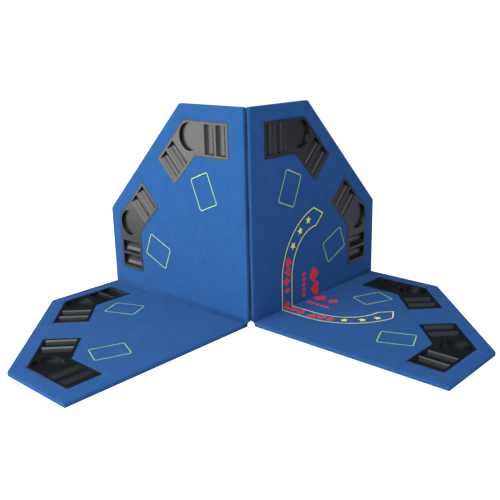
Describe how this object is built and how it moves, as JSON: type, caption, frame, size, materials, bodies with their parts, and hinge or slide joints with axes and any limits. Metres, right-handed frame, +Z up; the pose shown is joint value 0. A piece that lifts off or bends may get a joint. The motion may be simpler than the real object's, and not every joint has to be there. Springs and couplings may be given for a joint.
{
  "type": "folding card table top",
  "caption": "Octagonal felt-covered card table top that folds in quarters, with moulded chip and cup trays let into its rim.",
  "frame": {"origin": "on the ground under the middle of the half-folded table's box", "axes": "+X to the right of the play side, +Y to the back, +Z up from the ground"},
  "size_m": [1.2374, 0.8692, 0.6221],
  "materials": {
    "felt": "matte",
    "print": "matte",
    "webbing": "matte",
    "foam": "matte",
    "board": "matte",
    "back_cover": "matte",
    "tray": "satin",
    "hinge_steel": "satin"
  },
  "bodies": {
    "left_base": {"left_base_board": "board", "left_base_foam_pad": "foam", "left_base_fold_webbing": "webbing", "left_base_felt": "felt", "left_base_back_cover": "back_cover", "left_base_seam_side_tray": "tray", "left_base_fold_side_tray": "tray"},
    "left_upright": {"left_upright_board": "board", "left_upright_foam_pad": "foam", "left_upright_fold_webbing": "webbing", "left_upright_felt": "felt", "left_upright_back_cover": "back_cover", "left_upright_seam_side_tray": "tray", "left_upright_fold_side_tray": "tray", "lower_hinge_left_leaf": "hinge_steel", "middle_hinge_left_leaf": "hinge_steel", "upper_hinge_left_leaf": "hinge_steel", "lower_hinge_pin": "hinge_steel", "middle_hinge_pin": "hinge_steel", "upper_hinge_pin": "hinge_steel", "left_hinge_screws": "hinge_steel"},
    "right_upright": {"right_upright_board": "board", "right_upright_foam_pad": "foam", "right_upright_fold_webbing": "webbing", "right_upright_felt": "felt", "right_upright_back_cover": "back_cover", "right_upright_seam_side_tray": "tray", "right_upright_fold_side_tray": "tray", "lower_hinge_right_leaf": "hinge_steel", "middle_hinge_right_leaf": "hinge_steel", "upper_hinge_right_leaf": "hinge_steel", "right_hinge_screws": "hinge_steel"},
    "right_base": {"right_base_board": "board", "right_base_foam_pad": "foam", "right_base_fold_webbing": "webbing", "right_base_felt": "felt", "right_base_back_cover": "back_cover", "right_base_seam_side_tray": "tray", "right_base_fold_side_tray": "tray"}
  },
  "joints": [
    {"name": "left_fold", "type": "hinge", "parent": "left_base", "child": "left_upright", "pos_m": [-0.00905, -0.00525, 0.0125], "axis": [-0.7071, 0.7071, 0], "range_deg": [-90, 90]},
    {"name": "centre_seam", "type": "hinge", "parent": "left_upright", "child": "right_upright", "pos_m": [0, 0.0038, 0], "axis": [0, 0, -1], "range_deg": [-90, 90]},
    {"name": "right_fold", "type": "hinge", "parent": "right_upright", "child": "right_base", "pos_m": [0.00905, -0.00525, 0.0125], "axis": [0.7071, 0.7071, 0], "range_deg": [-90, 90]}
  ]
}
